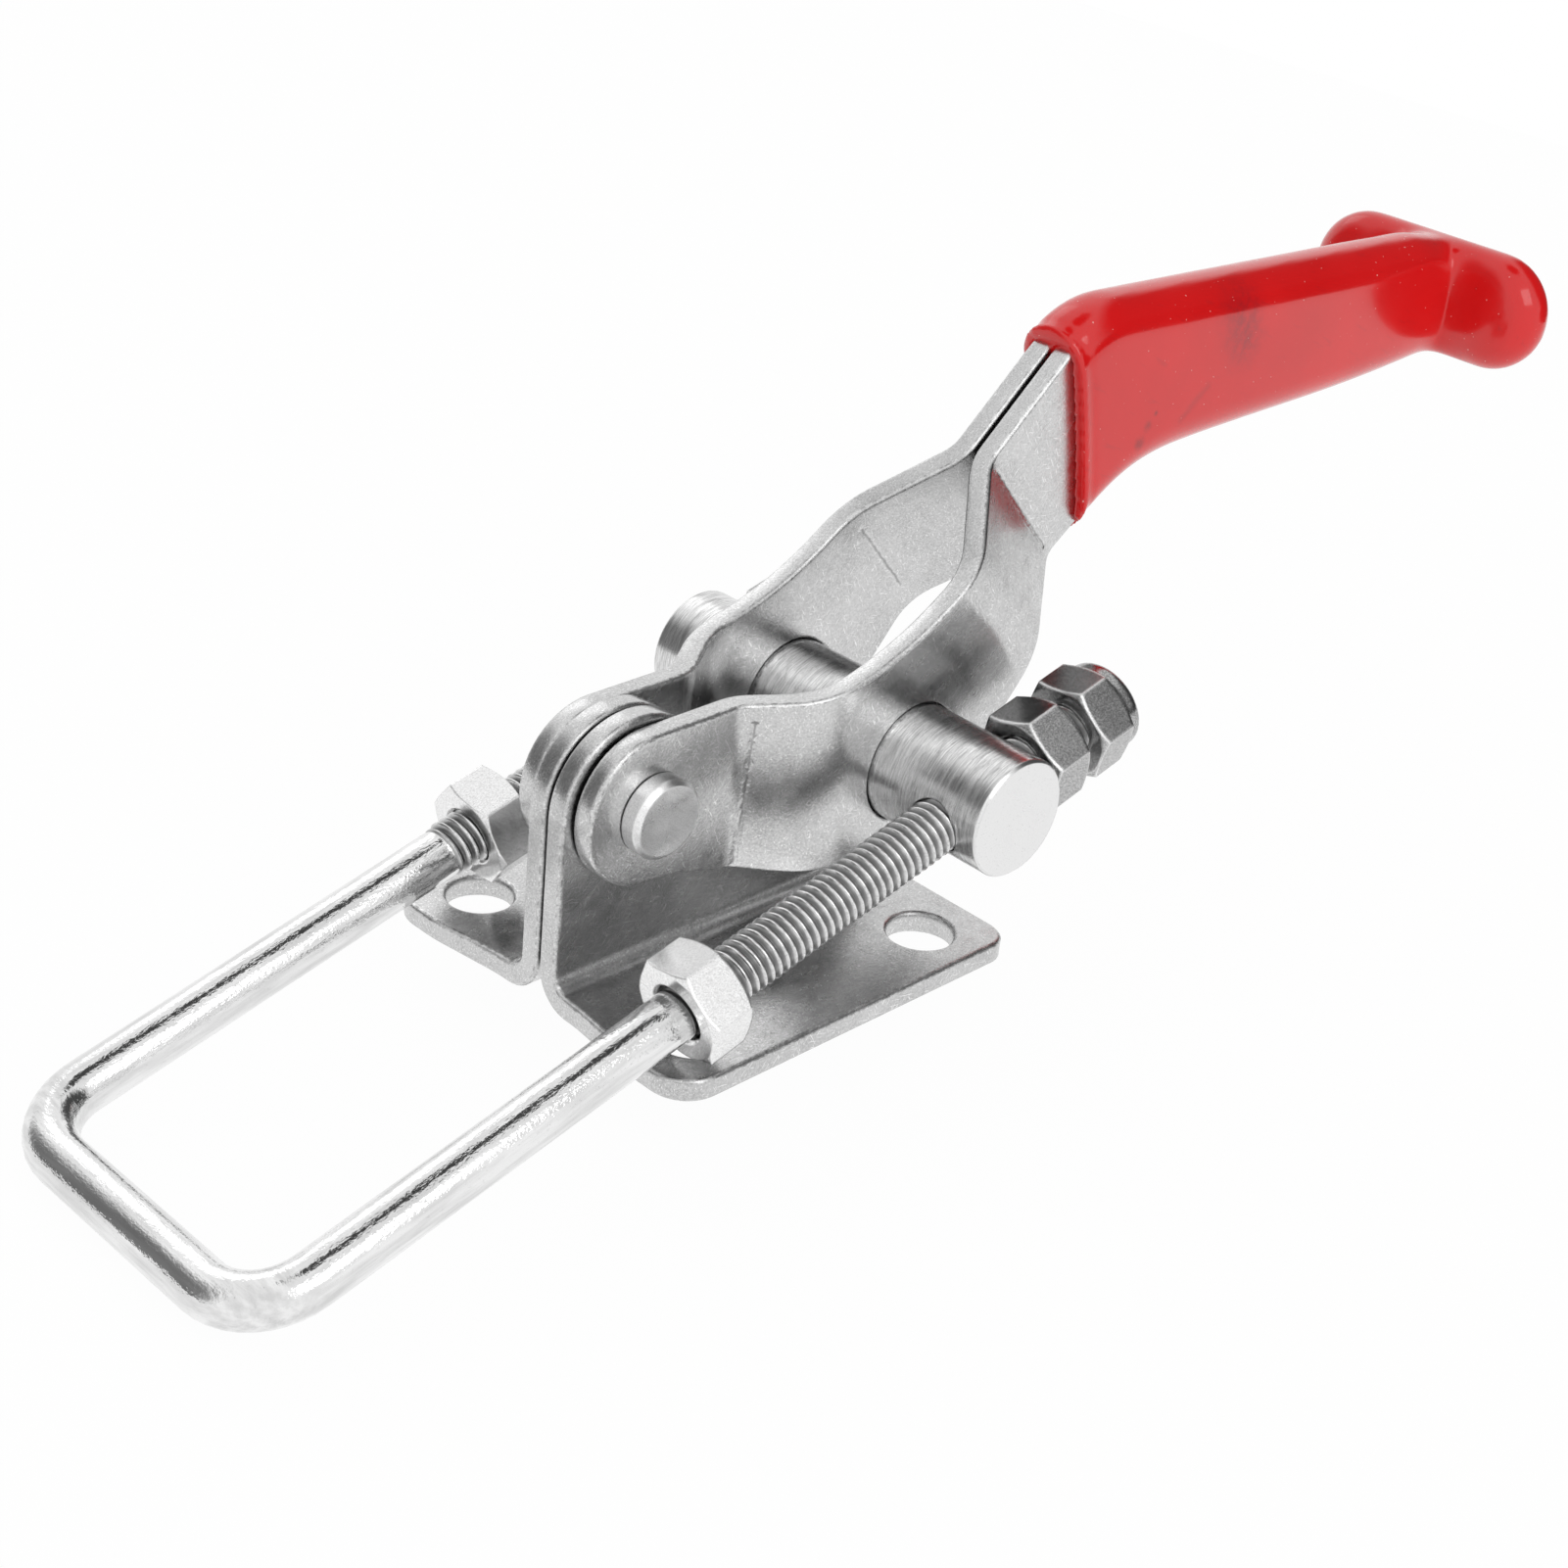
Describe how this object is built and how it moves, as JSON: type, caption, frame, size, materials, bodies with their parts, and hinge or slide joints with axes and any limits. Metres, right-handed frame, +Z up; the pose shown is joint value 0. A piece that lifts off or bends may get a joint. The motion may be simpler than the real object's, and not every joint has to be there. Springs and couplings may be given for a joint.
{
  "type": "over centre toggle latch",
  "caption": "Over centre toggle latch with an adjustable threaded U-bolt, joggled handle plates and a T-shaped vinyl grip.",
  "frame": {"origin": "centre of the four base holes, on the underside of the base", "axes": "+X towards the handle's end, +Z up from the mounting surface, +Y across the latch"},
  "size_m": [0.1897, 0.0471, 0.0664],
  "materials": {
    "base_steel": "tumbled satin",
    "handle_steel": "tumbled satin",
    "pin_steel": "turned",
    "barrel_steel": "turned",
    "wire_steel": "polished",
    "nut_steel": "polished",
    "vinyl": "gloss",
    "insert_nylon": "matt"
  },
  "bodies": {
    "base": {"base_left": "base_steel", "base_right": "base_steel", "pivot_pin": "pin_steel"},
    "handle": {"handle_left": "handle_steel", "handle_right": "handle_steel", "grip": "vinyl"},
    "barrel": {"barrel": "barrel_steel"},
    "hook": {"u_bolt": "wire_steel", "front_nut_left": "nut_steel", "front_nut_right": "nut_steel", "rear_nut_left": "nut_steel", "rear_nut_right": "nut_steel", "lock_nut_left": "nut_steel", "lock_nut_right": "nut_steel", "lock_insert_left": "insert_nylon", "lock_insert_right": "insert_nylon"}
  },
  "joints": [
    {"name": "handle_swing", "type": "hinge", "parent": "base", "child": "handle", "pos_m": [-0.01285, 0, 0.02095], "axis": [0, -1, 0], "range_deg": [0, 150]},
    {"name": "barrel_turn", "type": "hinge", "parent": "handle", "child": "barrel", "pos_m": [0.0184, 0, 0.01885], "axis": [0, -1, 0], "range_deg": [-150, 0]},
    {"name": "hook_slide", "type": "slide", "parent": "barrel", "child": "hook", "axis": [0.9671, 0, 0.2544], "range_m": [0, 0.0255]}
  ],
  "couplings": [
    {"joint": "barrel_turn", "follows": "handle_swing", "ratio": -1}
  ]
}
